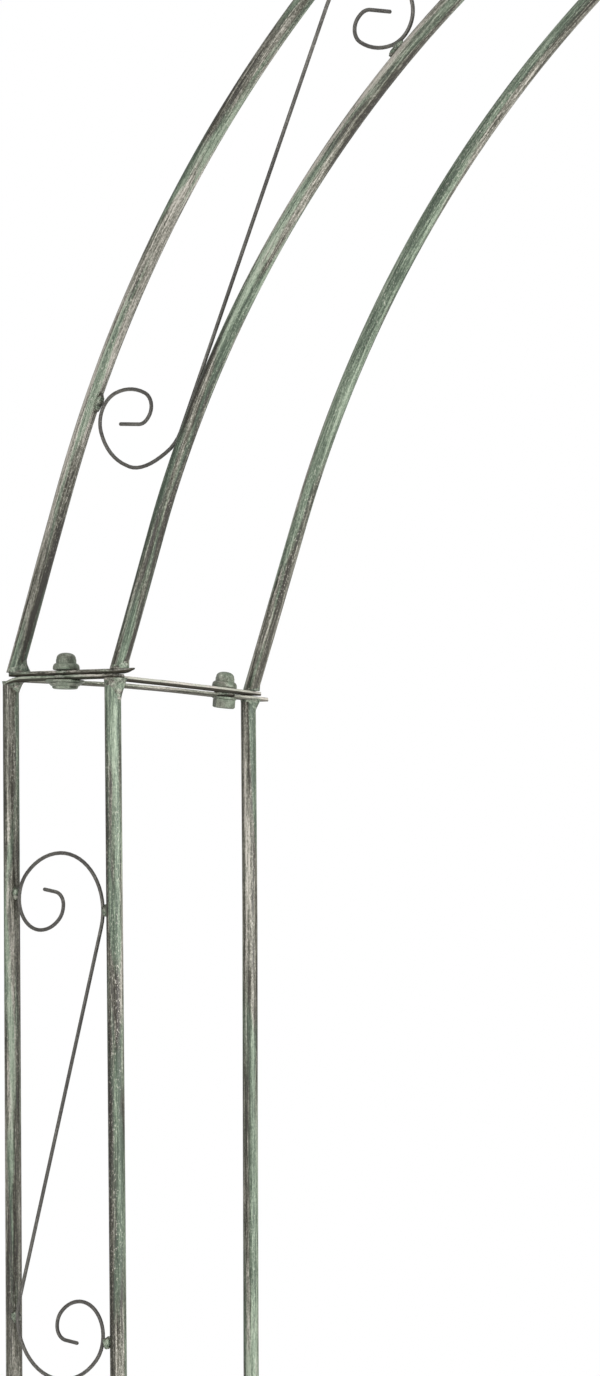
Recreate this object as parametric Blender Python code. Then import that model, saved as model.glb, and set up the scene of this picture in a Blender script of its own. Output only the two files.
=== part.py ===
"""Metal trellis arch: two three-tube legs and a round arch top in two halves.

The part stands on the ground plane.  X runs across the walkway, -Y is the front,
and +Z is up.  Every length is in metres.  The left half is drawn once and the
right half is its mirror image across X = 0.
"""
import math

import bpy
from mathutils import Matrix, Vector

# ---------------------------------------------------------------- driving sizes
OVERALL_HEIGHT = 2.300
FRONT_SPACING = 0.085       # outer tube to inner tube, axis to axis, in a leg
SIDE_DEPTH = 0.224          # front tubes to rear tube, axis to axis
START_TILT = math.radians(21.8)     # lean of the arch tubes where they leave the legs
INNER_STRAIGHT = 0.092      # straight start of the inner arch tube
INNER_BEND = 0.612          # bend radius of the inner arch tube, at its axis
ARCH_INSET = 0.002          # arch tubes stand this much further in than the leg tubes

TUBE_RADIUS = 0.005
TUBE_WALL = 0.001
WIRE_RADIUS = 0.00115
GAP = 0.0003                # clearance between pieces that touch

STRIP_WIDTH = 0.010
STRIP_THICKNESS = 0.0025
STRIP_START = 0.002         # a cross strip starts this far outside the outer tube's axis
CROSS_OVERHANG = 0.0127     # cross strip of the arch foot, past the inner tube's axis
REAR_OVERHANG = 0.015       # long strips, past the rear tube's axis
EYE_RADIUS = 0.009          # round eye that a bolt goes through
EYE_BACK = 0.031            # the rear eye's distance in front of the rear tube
FRONT_EYE_SHARE = 0.54      # the front eye's place between the outer and the inner tube

BOLT_RADIUS = 0.004
HOLE_RADIUS = 0.0044
HEAD_FLAT = 0.0065          # half the width across the flats of a bolt head
HEAD_HEIGHT = 0.0055
WIDE_HEAD_FLAT = 0.0071     # the lower head on a large washer
WIDE_HEAD_HEIGHT = 0.0036
NUT_FLANGE_RADIUS = 0.00825
NUT_BODY_RADIUS = 0.0062
NUT_HEIGHT = 0.0103
NUT_BORE_DEPTH = 0.0075
WASHER_THICKNESS = 0.0016
SMALL_WASHER_RADIUS = 0.008
LARGE_WASHER_RADIUS = 0.012

LEG_SCROLLS = 4
LEG_SCROLL_HALF = 0.1225    # half the distance between the two loops of a leg scroll
LEG_SCROLL_END = 0.2625     # joint to the middle of the nearest leg scroll
# Bends of one loop, from the straight middle of the scroll to its inner end:
# radius and turn of each arc.
LEG_LOOP = ((0.0347, 90), (0.0397, 45), (0.0223, 45), (0.0187, 45), (0.0177, 45), (0.0216, 45),
            (0.0124, 45), (0.0077, 80))
ARCH_LOOP = ((0.0320, 90), (0.0339, 45), (0.0179, 45), (0.0177, 45), (0.0307, 45), (0.0093, 90),
             (0.0120, 25), (0.0080, 43))
LEG_TAIL = 0.0095           # straight inner end of a leg scroll
ARCH_TAIL = 0.0145
LEG_SWING = (0.0, 0.0)      # extra turn of the lower and the upper loop, degrees
ARCH_SWING = (-11.9, -4.0)
# Loop centres of the arch scrolls: distance along the arch's middle line from the
# joint, and distance out from the inner tube.
ARCH_SCROLLS = (((0.1655, 0.0397), (0.4362, 0.0357)), ((0.5700, 0.0397), (0.7850, 0.0370)))

TUBE_SIDES = 12
BORE_SIDES = 6
ARCH_STEPS = 16             # straight facets along the bend of an arch tube
TURN_STEP = math.radians(26)    # largest turn of a scroll between two points
ROUND_STEPS = 12            # facets around a bolt, nut or washer
EYE_STEPS = 20              # facets around a bracket's eye

# ---------------------------------------------------------------- worked out sizes
TILT = Vector((math.sin(START_TILT), math.cos(START_TILT)))
OUTER_STRAIGHT = INNER_STRAIGHT + FRONT_SPACING * TILT.x
OUTER_BEND = INNER_BEND + FRONT_SPACING * TILT.y
ARCH_SPACING = FRONT_SPACING * TILT.y       # outer to inner arch tube, square to both
ARCH_HALF_SPAN = OUTER_STRAIGHT * TILT.x + OUTER_BEND * TILT.y
ARCH_RISE = OUTER_STRAIGHT * TILT.y + OUTER_BEND * (1.0 - TILT.x)
OUTER_X = -(ARCH_HALF_SPAN + ARCH_INSET)    # leg tube axes, left side
INNER_X = OUTER_X + FRONT_SPACING
BEND_CENTRE_RISE = INNER_STRAIGHT * TILT.y - INNER_BEND * TILT.x
JOINT_Z = OVERALL_HEIGHT - ARCH_RISE - TUBE_RADIUS

SHIFT_Y = (LARGE_WASHER_RADIUS - REAR_OVERHANG) / 2     # centres the part front to back
FRONT_Y = SHIFT_Y - SIDE_DEPTH / 2
REAR_Y = SHIFT_Y + SIDE_DEPTH / 2
SEAM = GAP / 2              # half the gap between two brackets that are bolted together
FACE = SEAM + STRIP_THICKNESS       # outer face of a bracket, from the joint plane
SEAT = FACE + GAP           # what stands on a bracket starts here

PLAN_OUTER = Vector((OUTER_X, FRONT_Y))
PLAN_INNER = Vector((INNER_X, FRONT_Y))
PLAN_REAR = Vector((OUTER_X, REAR_Y))
SLANT = (PLAN_REAR - PLAN_INNER).normalized()


# ---------------------------------------------------------------- scene and materials
def clear_scene():
    for old in list(bpy.data.objects):
        bpy.data.objects.remove(old, do_unlink=True)


def make_material(name, colour, roughness, metallic):
    material = bpy.data.materials.new(name)
    material.use_nodes = True
    shader = material.node_tree.nodes["Principled BSDF"]
    shader.inputs["Base Color"].default_value = (*colour, 1.0)
    shader.inputs["Roughness"].default_value = roughness
    shader.inputs["Metallic"].default_value = metallic
    return material


def add_object(name, data, material):
    item = bpy.data.objects.new(name, data)
    data.materials.clear()
    data.materials.append(material)
    bpy.context.scene.collection.objects.link(item)
    return item


def add_mesh(name, points, faces, material, sharp=math.radians(40)):
    mesh = bpy.data.meshes.new(name)
    mesh.from_pydata([tuple(p) for p in points], [], faces)
    mesh.validate()
    mesh.shade_smooth()
    mesh.set_sharp_from_angle(angle=sharp)
    return add_object(name, mesh, material)


def mirrored(points, faces):
    """The same solid across X = 0, still facing out."""
    return [Vector((-p.x, p.y, p.z)) for p in points], [tuple(reversed(f)) for f in faces]


def add_pair(name, solid, material):
    """A piece of the left half and its twin of the right half."""
    add_mesh("left_" + name, *solid, material)
    add_mesh("right_" + name, *mirrored(*solid), material)


# ---------------------------------------------------------------- solids
def rings_to_faces(rows, size, closed):
    """Quads between neighbouring rows of `size` points; closed joins last to first."""
    faces = []
    last = rows if closed else rows - 1
    for row in range(last):
        here = row * size
        there = (row + 1) % rows * size
        for k in range(size):
            after = (k + 1) % size
            faces.append((here + k, here + after, there + after, there + k))
    return faces


def circle(centre, side, up, radius, steps):
    points = []
    for k in range(steps):
        turn = 2.0 * math.pi * k / steps
        points.append(centre + radius * (math.cos(turn) * side + math.sin(turn) * up))
    return points


def cut_square_to(points, direction, level_axis, level):
    """Slides points along a direction until they lie on the plane axis = level."""
    slid = []
    for p in points:
        slid.append(p + direction * ((level - p[level_axis]) / direction[level_axis]))
    return slid


def tube(path, start_cut=None):
    """Hollow tube along a path in a plane of constant Y."""
    outer, inner = [], []
    bore = TUBE_RADIUS - TUBE_WALL
    for i, centre in enumerate(path):
        before = path[max(i - 1, 0)]
        after = path[min(i + 1, len(path) - 1)]
        along = (after - before).normalized()
        side = Vector((0.0, 1.0, 0.0))
        up = along.cross(side)
        for store, radius, sides in ((outer, TUBE_RADIUS, TUBE_SIDES), (inner, bore, BORE_SIDES)):
            ring = circle(centre, side, up, radius, sides)
            if i == 0 and start_cut is not None:
                ring = cut_square_to(ring, along, 2, start_cut)
            store.extend(ring)
    rows = len(path)
    faces = rings_to_faces(rows, TUBE_SIDES, False)
    first_inner = rows * TUBE_SIDES
    for face in rings_to_faces(rows, BORE_SIDES, False):
        faces.append(tuple(first_inner + k for k in reversed(face)))
    faces += end_ring(0, first_inner, True)
    faces += end_ring((rows - 1) * TUBE_SIDES, first_inner + (rows - 1) * BORE_SIDES, False)
    return outer + inner, faces


def end_ring(outer_start, inner_start, at_start):
    """Flat end of a tube, between its outer ring and its bore."""
    ratio = TUBE_SIDES // BORE_SIDES
    faces = []
    for k in range(BORE_SIDES):
        low = inner_start + k
        high = inner_start + (k + 1) % BORE_SIDES
        edge = [outer_start + (k * ratio + j) % TUBE_SIDES for j in range(ratio + 1)]
        face = (low, high) + tuple(reversed(edge))
        faces.append(face if at_start else tuple(reversed(face)))
    return faces


def turned(profile, place, hexagon=()):
    """Solid of revolution from (radius, height) points, top axis point to bottom one.

    Rows named in hexagon are drawn with six flats instead of round.
    """
    flat = math.cos(math.pi / 6)
    points = [place @ Vector((0.0, 0.0, profile[0][1]))]
    for row, (radius, height) in enumerate(profile[1:-1], start=1):
        for k in range(ROUND_STEPS):
            turn = 2.0 * math.pi * k / ROUND_STEPS
            reach = radius * (flat if row in hexagon and k % 2 else 1.0)
            points.append(place @ Vector((reach * math.cos(turn), reach * math.sin(turn), height)))
    points.append(place @ Vector((0.0, 0.0, profile[-1][1])))
    rows = len(profile) - 2
    faces = []
    for k in range(ROUND_STEPS):
        after = (k + 1) % ROUND_STEPS
        faces.append((0, 1 + k, 1 + after))
        for row in range(rows - 1):
            here = 1 + row * ROUND_STEPS
            there = here + ROUND_STEPS
            faces.append((here + k, there + k, there + after, here + after))
        base = 1 + (rows - 1) * ROUND_STEPS
        faces.append((len(points) - 1, base + after, base + k))
    return points, faces


def ring_solid(radius, hole, low, high, place):
    """Flat ring, such as a washer."""
    points = []
    for reach, height in ((radius, low), (radius, high), (hole, high), (hole, low)):
        for k in range(ROUND_STEPS):
            turn = 2.0 * math.pi * k / ROUND_STEPS
            points.append(place @ Vector((reach * math.cos(turn), reach * math.sin(turn), height)))
    faces = rings_to_faces(4, ROUND_STEPS, True)
    return points, faces


def strip(stations, width=STRIP_WIDTH):
    """Flat bar through (plan point, lowest height) stations in a straight plan line."""
    along = (stations[-1][0] - stations[0][0]).normalized()
    side = Vector((-along.y, along.x)) * width / 2
    points = []
    for plan, low in stations:
        for edge, height in ((-1, low), (1, low), (1, low + STRIP_THICKNESS),
                             (-1, low + STRIP_THICKNESS)):
            corner = plan + edge * side
            points.append(Vector((corner.x, corner.y, height)))
    faces = [tuple(reversed(f)) for f in rings_to_faces(len(stations), 4, False)]
    faces.append((0, 1, 2, 3))
    last = 4 * (len(stations) - 1)
    faces.append((last + 3, last + 2, last + 1, last))
    return points, [tuple(reversed(f)) for f in faces]


def disc(plan, radius, low, high):
    """Upright round block, used for eyes and to cut their holes."""
    points = []
    for height in (low, high):
        for k in range(EYE_STEPS):
            turn = 2.0 * math.pi * (k + 0.5) / EYE_STEPS
            points.append(Vector((plan.x + radius * math.cos(turn),
                                  plan.y + radius * math.sin(turn), height)))
    faces = rings_to_faces(2, EYE_STEPS, False)
    faces.append(tuple(reversed(range(EYE_STEPS))))
    faces.append(tuple(range(EYE_STEPS, 2 * EYE_STEPS)))
    return points, faces


def combine(base, steps, material):
    """Runs exact booleans on a solid and returns the result as points and faces."""
    item = add_mesh("combine_base", *base, material)
    helpers = []
    for operation, solid in steps:
        helper = add_mesh("combine_helper", *solid, material)
        helper.hide_render = True
        helper.display_type = "WIRE"
        helpers.append(helper)
        change = item.modifiers.new(operation, "BOOLEAN")
        change.operation = operation
        change.object = helper
        change.solver = "EXACT"
    graph = bpy.context.evaluated_depsgraph_get()
    result = item.evaluated_get(graph).to_mesh()
    points = [v.co.copy() for v in result.vertices]
    faces = [tuple(p.vertices) for p in result.polygons]
    for used in helpers + [item]:
        bpy.data.objects.remove(used, do_unlink=True)
    return points, faces


def moved(solid, place):
    points, faces = solid
    return [place @ p for p in points], faces


# ---------------------------------------------------------------- arch line
def arch_path(offset, y):
    """Axis of an arch tube that lies `offset` outside the inner one."""
    straight = INNER_STRAIGHT + offset / TILT.y * TILT.x
    bend = INNER_BEND + offset
    foot = INNER_X + ARCH_INSET - offset / TILT.y
    centre_z = JOINT_Z + BEND_CENTRE_RISE
    start = SEAT / TILT.y
    points = [Vector((foot + start * TILT.x, y, JOINT_Z + SEAT))]
    end = math.acos(SEAT / bend)
    for k in range(ARCH_STEPS + 1):
        turn = START_TILT + (end - START_TILT) * k / ARCH_STEPS
        points.append(Vector((-bend * math.cos(turn), y, centre_z + bend * math.sin(turn))))
    return points


def arch_point(along, out):
    """Point of the front face, by its place along the middle line and out from it."""
    middle_straight = INNER_STRAIGHT + FRONT_SPACING / 2 * TILT.x
    middle_bend = INNER_BEND + ARCH_SPACING / 2
    centre_z = JOINT_Z + BEND_CENTRE_RISE
    turn = START_TILT + max(along - middle_straight, 0.0) / middle_bend
    radius = INNER_BEND + out
    point = Vector((-radius * math.cos(turn), centre_z + radius * math.sin(turn)))
    point -= TILT * max(middle_straight - along, 0.0)
    return point


# ---------------------------------------------------------------- scrolls
def loop_points(reach, hand, bends, tail, swing):
    """One end of a scroll, from its middle outwards, as (across, along) points.

    The middle is a straight line that touches the first bend, `reach` away.
    """
    lead = math.asin(bends[0][0] / reach)
    heading = math.pi / 2 - lead
    run = math.sqrt(reach ** 2 - bends[0][0] ** 2)
    position = Vector((math.cos(heading), math.sin(heading))) * run
    points = [position.copy()]
    for number, (radius, degrees) in enumerate(bends):
        turn = math.radians(degrees) + (lead + math.radians(swing) if number == 0 else 0.0)
        steps = math.ceil(turn / TURN_STEP)
        step = turn / steps
        for _ in range(steps):
            chord = 2.0 * radius * math.sin(step / 2)
            heading += step / 2
            position = position + Vector((math.cos(heading), math.sin(heading))) * chord
            heading += step / 2
            points.append(position.copy())
    points.append(position + Vector((math.cos(heading), math.sin(heading))) * tail)
    return [Vector((hand * p.x, p.y)) for p in points]


def scroll_points(low, high, hand, bends, tail, swings):
    """S-shaped scroll between two loop centres given as (x, z) points."""
    middle = (low + high) / 2
    reach = (high - low).length / 2
    along = (high - low).normalized()
    across = Vector((along.y, -along.x))
    lower = loop_points(reach, hand, bends, tail, swings[0])
    upper = loop_points(reach, hand, bends, tail, swings[1])
    plan = [-p for p in reversed(lower)] + upper
    points = []
    for p in plan:
        spot = middle + across * p.x + along * p.y
        points.append(Vector((spot.x, FRONT_Y, spot.y)))
    return points


def add_wire(name, points, material):
    curve = bpy.data.curves.new(name, "CURVE")
    curve.dimensions = "3D"
    curve.bevel_depth = WIRE_RADIUS
    curve.bevel_resolution = 1
    curve.render_resolution_u = 0
    curve.use_fill_caps = True
    line = curve.splines.new("POLY")
    line.points.add(len(points) - 1)
    for spot, p in zip(line.points, points):
        spot.co = (*p, 1.0)
    return add_object(name, curve, material)


def add_wire_pair(name, points, material):
    add_wire("left_" + name, points, material)
    add_wire("right_" + name, [Vector((-p.x, p.y, p.z)) for p in points], material)


# ---------------------------------------------------------------- brackets
def front_eye():
    return PLAN_OUTER.lerp(PLAN_INNER, FRONT_EYE_SHARE)


def rear_eye():
    """Between the two long strips, a little in front of the rear tube."""
    slanted = PLAN_REAR - SLANT * EYE_BACK
    straight = PLAN_REAR - Vector((0.0, EYE_BACK))
    return (slanted + straight) / 2


def bracket_with_eyes(strips, low, material):
    """Welds strips to each other and to two eyes, then drills the eyes."""
    high = low + STRIP_THICKNESS
    steps = [("UNION", solid) for solid in strips[1:]]
    steps += [("UNION", disc(eye, EYE_RADIUS, low, high)) for eye in (front_eye(), rear_eye())]
    for eye in (front_eye(), rear_eye()):
        steps.append(("DIFFERENCE", disc(eye, HOLE_RADIUS, low - 0.01, high + 0.01)))
    return combine(strips[0], steps, material)


def leg_bracket(low, material):
    """Cross strip and straight long strip, flat, at one end of a leg."""
    start = PLAN_OUTER - Vector((STRIP_START, 0.0))
    cross = strip([(start, low), (PLAN_INNER + Vector((TUBE_RADIUS, 0.0)), low)])
    rear = PLAN_REAR + Vector((0.0, REAR_OVERHANG))
    side = strip([(PLAN_OUTER + Vector((0.0, STRIP_WIDTH / 4)), low), (rear, low)])
    return bracket_with_eyes([cross, side], low, material)


def foot_bracket(material):
    """Cross strip of the arch foot, with the slanted strip lapped under its rear edge."""
    low = JOINT_Z + SEAM
    lap = 0.002
    start = PLAN_OUTER - Vector((STRIP_START, -lap / 2))
    stop = PLAN_INNER + Vector((CROSS_OVERHANG, lap / 2))
    cross = strip([(start, low), (stop, low)], STRIP_WIDTH + lap)
    clear = (STRIP_WIDTH / 2 + GAP + STRIP_WIDTH / 2 * abs(SLANT.x)) / SLANT.y
    stations = []
    for share, drop in ((0.0, 1.0), (0.2, 0.7), (0.4, 0.3), (0.6, 0.0), (1.0, 0.0)):
        reach = clear + ((PLAN_REAR - PLAN_INNER).length - clear) * share
        weld = GAP if share == 0.0 else 0.0
        stations.append((PLAN_INNER + SLANT * reach, low - drop * STRIP_THICKNESS + weld))
    last_plan, last_low = stations[-1]
    stations[-1] = (last_plan + SLANT * REAR_OVERHANG, last_low)
    return bracket_with_eyes([cross, strip(stations)], low, material)


def crown_bracket(material):
    """Bracket at the crown, drawn flat like the others and then stood upright."""
    low = -FACE
    outer = Vector((-ARCH_SPACING, FRONT_Y))
    inner = Vector((0.0, FRONT_Y))
    rear = Vector((-ARCH_SPACING, REAR_Y))
    slant = (rear - inner).normalized()
    reach = Vector((TUBE_RADIUS, 0.0))
    cross = strip([(outer - reach, low), (inner + reach, low)])
    side = strip([(inner, low), (rear + slant * TUBE_RADIUS, low)])
    eyes = crown_eyes()
    high = low + STRIP_THICKNESS
    steps = [("UNION", side)]
    steps += [("UNION", disc(eye, EYE_RADIUS, low, high)) for eye in eyes]
    steps += [("DIFFERENCE", disc(eye, HOLE_RADIUS, low - 0.01, high + 0.01)) for eye in eyes]
    return moved(combine(cross, steps, material), crown_place())


def crown_eyes():
    """Eye places in the flat drawing of the crown bracket."""
    outer = Vector((-ARCH_SPACING, FRONT_Y))
    inner = Vector((0.0, FRONT_Y))
    rear = Vector((-ARCH_SPACING, REAR_Y))
    slant = (rear - inner).normalized()
    return (outer + inner) / 2, rear - slant * EYE_BACK


def crown_place():
    """Stands the flat drawing upright: -X of the drawing goes up, +Z goes to +X."""
    inner_z = JOINT_Z + BEND_CENTRE_RISE + INNER_BEND
    return Matrix(((0.0, 0.0, 1.0, 0.0), (0.0, 1.0, 0.0, 0.0),
                   (-1.0, 0.0, 0.0, inner_z), (0.0, 0.0, 0.0, 1.0)))


# ---------------------------------------------------------------- fasteners
def bolt_solid(place, flat, depth):
    """Hexagon bolt from below; the joint plane is at height 0."""
    top = -(SEAT + WASHER_THICKNESS + GAP)
    bottom = top - depth
    corner = flat / math.cos(math.pi / 6)
    tip = SEAT + NUT_BORE_DEPTH - GAP
    profile = [(0.0, tip), (BOLT_RADIUS - 0.0008, tip), (BOLT_RADIUS, tip - 0.001),
               (BOLT_RADIUS, top), (corner, top), (corner, bottom + 0.0008),
               (corner - 0.0012, bottom), (0.0, bottom)]
    return turned(profile, place, hexagon=(4, 5, 6))


def cap_nut_solid(place):
    """Domed nut with a flange, open underneath for the bolt's end."""
    base = SEAT
    top = base + NUT_HEIGHT
    body = NUT_BODY_RADIUS
    roof = base + NUT_BORE_DEPTH
    profile = [(0.0, top), (body * 0.55, top - 0.0006), (body * 0.9, top - 0.0022),
               (body, base + 0.0062), (body, base + 0.0036), (NUT_FLANGE_RADIUS, base + 0.0016),
               (NUT_FLANGE_RADIUS, base), (HOLE_RADIUS, base), (HOLE_RADIUS, roof), (0.0, roof)]
    return turned(profile, place)


def washer_solid(place, radius):
    low = -(SEAT + WASHER_THICKNESS)
    return ring_solid(radius, HOLE_RADIUS, low, -SEAT, place)


def joint_fasteners(place, large):
    """Bolt, washer and cap nut of one hole, as named solids."""
    radius = LARGE_WASHER_RADIUS if large else SMALL_WASHER_RADIUS
    head = (WIDE_HEAD_FLAT, WIDE_HEAD_HEIGHT) if large else (HEAD_FLAT, HEAD_HEIGHT)
    return (("bolt", bolt_solid(place, *head)),
            ("washer", washer_solid(place, radius)),
            ("cap_nut", cap_nut_solid(place)))


# ---------------------------------------------------------------- assembly
def build_legs(steel, wire):
    plan = (("outer", PLAN_OUTER), ("inner", PLAN_INNER), ("rear", PLAN_REAR))
    foot_top = STRIP_THICKNESS + GAP
    for name, spot in plan:
        ends = [Vector((spot.x, spot.y, foot_top)), Vector((spot.x, spot.y, JOINT_Z - SEAT))]
        add_pair("leg_%s_tube" % name, tube(ends), steel)
    add_pair("leg_foot_bracket", leg_bracket(0.0, steel), steel)
    add_pair("leg_top_bracket", leg_bracket(JOINT_Z - FACE, steel), steel)
    middle_x = (OUTER_X + INNER_X) / 2
    spread = (JOINT_Z - 2 * LEG_SCROLL_END) / (LEG_SCROLLS - 1)
    for number in range(LEG_SCROLLS):
        middle_z = JOINT_Z - LEG_SCROLL_END - number * spread
        low = Vector((middle_x, middle_z - LEG_SCROLL_HALF))
        high = Vector((middle_x, middle_z + LEG_SCROLL_HALF))
        points = scroll_points(low, high, 1, LEG_LOOP, LEG_TAIL, LEG_SWING)
        add_wire_pair("leg_scroll_%d" % (number + 1), points, wire)


def build_arch(steel, wire):
    lines = (("outer", ARCH_SPACING, FRONT_Y), ("inner", 0.0, FRONT_Y),
             ("rear", ARCH_SPACING, REAR_Y))
    for name, offset, y in lines:
        solid = tube(arch_path(offset, y), start_cut=JOINT_Z + SEAT)
        add_pair("arch_%s_tube" % name, solid, steel)
    add_pair("arch_foot_bracket", foot_bracket(steel), steel)
    add_pair("arch_crown_bracket", crown_bracket(steel), steel)
    for number, (low, high) in enumerate(ARCH_SCROLLS, start=1):
        ends = arch_point(*low), arch_point(*high)
        points = scroll_points(*ends, -1, ARCH_LOOP, ARCH_TAIL, ARCH_SWING)
        add_wire_pair("arch_scroll_%d" % number, points, wire)


def build_fasteners(metal):
    for name, eye, large in (("front", front_eye(), True), ("rear", rear_eye(), False)):
        place = Matrix.Translation((eye.x, eye.y, JOINT_Z))
        for piece, solid in joint_fasteners(place, large):
            add_pair("joint_%s_%s" % (name, piece), solid, metal)
    for name, eye, large in zip(("front", "rear"), crown_eyes(), (True, False)):
        place = crown_place() @ Matrix.Translation((eye.x, eye.y, 0.0))
        for piece, solid in joint_fasteners(place, large):
            add_mesh("crown_%s_%s" % (name, piece), *solid, metal)


clear_scene()
patina_steel = make_material("patina_steel", (0.17, 0.19, 0.155), 0.55, 0.35)
scroll_wire = make_material("scroll_wire", (0.105, 0.10, 0.09), 0.6, 0.35)
painted_fastener = make_material("painted_fastener", (0.25, 0.30, 0.24), 0.5, 0.2)
build_legs(patina_steel, scroll_wire)
build_arch(patina_steel, scroll_wire)
build_fasteners(painted_fastener)
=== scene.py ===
"""The looks of the metal trellis arch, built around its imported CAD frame."""
import math

import bpy
import numpy as np
from mathutils import Matrix, Vector, noise


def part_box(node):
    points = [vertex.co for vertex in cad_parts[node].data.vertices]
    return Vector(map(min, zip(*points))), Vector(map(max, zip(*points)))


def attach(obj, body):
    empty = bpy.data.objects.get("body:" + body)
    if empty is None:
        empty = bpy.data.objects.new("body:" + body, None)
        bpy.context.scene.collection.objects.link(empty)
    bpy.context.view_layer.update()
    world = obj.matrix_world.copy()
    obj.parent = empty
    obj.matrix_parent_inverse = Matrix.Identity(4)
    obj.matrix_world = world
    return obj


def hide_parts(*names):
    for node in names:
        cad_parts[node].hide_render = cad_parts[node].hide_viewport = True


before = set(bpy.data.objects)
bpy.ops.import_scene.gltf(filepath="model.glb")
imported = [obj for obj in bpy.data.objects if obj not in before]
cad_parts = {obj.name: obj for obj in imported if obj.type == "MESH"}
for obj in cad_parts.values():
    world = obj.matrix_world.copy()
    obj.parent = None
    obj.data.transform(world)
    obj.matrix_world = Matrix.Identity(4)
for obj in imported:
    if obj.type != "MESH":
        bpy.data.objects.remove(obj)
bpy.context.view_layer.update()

# ---------------------------------------------------------------- driving sizes, metres
START_TILT = math.radians(21.8)     # lean of the arch tubes where they leave the legs
INNER_STRAIGHT = 0.092              # straight start of the inner arch tube
INNER_BEND = 0.612                  # bend radius of the inner arch tube
ARCH_INSET = 0.002                  # the arch tubes start this far inside the leg tubes
TUBE_RADIUS = 0.005
TUBE_WALL = 0.001
WIRE_RADIUS = 0.00115
SEAM = 0.00015                      # half the gap between two bolted brackets
STRIP_THICKNESS = 0.0025
REST_GAP = 0.0003                   # between a bracket and the tube, nut or washer on it
SEAT = SEAM + STRIP_THICKNESS + REST_GAP

# The welded frame is a little out of true.
JOINT_LIFT = 0.0019                 # the joint's outer corner is this much higher than the others
LIFT_REACH = (0.030, 0.110)         # distances from the joint where the lift is whole, and gone
CORNER_LIMITS = (-0.2, 1.2)         # least and greatest share of the lift, past the tubes
# Sideways bow in X of the outer, inner and rear tube: at the foot of the arch tube, and down
# the leg as (distance below the joint, bow).
ARCH_FOOT_BOW = (0.0018, 0.0010, 0.0004)
ARCH_BOW_REACH = (0.012, 0.105)     # heights where the bow is whole, and gone
LEG_BOW = (((0.0, 0.0015), (0.6, 0.0015), (1.3, 0.0)),
           ((0.0, -0.0005), (0.2, 0.0), (0.42, 0.0006), (1.3, 0.0)),
           ((0.0, 0.0013), (0.14, 0.0011), (0.26, 0.0), (0.45, -0.0014), (0.8, -0.0014), (1.4, 0.0)))

LEG_SCROLLS = 4
LEG_SCROLL_HALF = 0.1225            # half the distance between the two loops of a scroll
LEG_SCROLL_END = 0.2625             # joint to the middle of the nearest leg scroll
# Bends of one loop, from the straight middle of the scroll to its inner end: radius and
# turn of each arc.
LEG_LOOP = ((0.0347, 90), (0.0397, 45), (0.0223, 45), (0.0187, 45), (0.0177, 45), (0.0216, 45),
            (0.0124, 45), (0.0077, 80))
ARCH_LOOP = ((0.0320, 90), (0.0339, 45), (0.0179, 45), (0.0177, 45), (0.0307, 45), (0.0093, 90),
             (0.0120, 25), (0.0080, 43))
LEG_TAIL = 0.0095                   # straight inner end of a loop
ARCH_TAIL = 0.0145
LEG_SWING = (3.0, 0.0)              # extra turn of the lower and the upper loop, degrees
ARCH_SWING = (-11.9, -4.0)
LEG_LOW_RISE = 0.0036               # a leg scroll's lower loop is bent this much higher
LEG_LEAN = (-0.0050, -0.0017)       # shift in Y of a leg scroll's lower and upper loop
# An arch scroll is pulled sideways in X: this far at its lower and at its upper end.  The pull
# is gone after the PULL_EASE share of the lower loop's first bend.  From its BACK_START share on
# the bend swells to the other side, by up to the PULL_BACK share of the pull.
ARCH_PULL = (0.0024, 0.0019)
PULL_EASE = 0.4
BACK_START = 0.25
PULL_BACK = 1.1
# Lower and upper loop of each arch scroll: place along the middle line of the arch, and
# distance out from the inner tube.
ARCH_SCROLLS = (((0.1655, 0.0397), (0.4362, 0.0357)), ((0.5700, 0.0397), (0.7850, 0.0370)))
# Seeds that give each tube and wire its own marks.
LEG_SEEDS = {"outer": 0.0, "inner": 1.3, "rear": 3.4}
ARCH_SEEDS = {"outer": 5.1, "inner": 6.4, "rear": 13.0}
LEG_WIRE_SEED_STEP = 1.7
ARCH_WIRE_SEED = 9.0

TUBE_SIDES = 28
WIRE_SIDES = 12
LEG_STEPS = 24
LEG_CROWDING = 1.6                  # the rows of a leg tube stand closer towards the joint
STRAIGHT_SHARES = (0.1, 0.3, 0.6)   # rows of the straight start of an arch tube
ARCH_STEPS = 72
ROUND_STEPS = 60
TURN_STEP = math.radians(7)
LEAD_SHARES = (0.25, 0.5, 0.75, 1.0)    # points of a scroll's straight middle
TAIL_SHARES = (0.5, 1.0)
WIRE_END_REACH = 0.45               # chamfer at the end of a wire, as shares of its radius
WIRE_END_SIZE = 0.72
WORN_EDGE = 0.0004                  # bevel of the brackets that keep their CAD shape
ROUNDING = 0.3                      # middle point of a rounded edge, as a share of its radius
SHARP_ANGLE = math.radians(35)
MIRROR_GRAIN = (0.31, 0.0, 3.7)     # moves the right half's texture, so that it does not repeat

# ---------------------------------------------------------------- read from the frame
def middle_of(node):
    """Middle of a CAD node's box."""
    low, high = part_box(node)
    return (Vector(low) + Vector(high)) / 2


OUTER = middle_of("left_leg_outer_tube")
INNER = middle_of("left_leg_inner_tube")
REAR = middle_of("left_leg_rear_tube")
JOINT_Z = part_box("left_leg_top_bracket")[1][2] + SEAM
LEG_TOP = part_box("left_leg_outer_tube")[1][2]
LEG_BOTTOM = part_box("left_leg_outer_tube")[0][2]
FRONT_SPACING = INNER.x - OUTER.x
ARCH_SPACING = FRONT_SPACING * math.cos(START_TILT)
TILT = Vector((math.sin(START_TILT), math.cos(START_TILT)))
BEND_CENTRE_Z = JOINT_Z + INNER_STRAIGHT * TILT.y - INNER_BEND * TILT.x
FRONT_Y = OUTER.y
REAR_Y = REAR.y
SPOTS = {"outer": OUTER, "inner": INNER, "rear": REAR}


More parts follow.
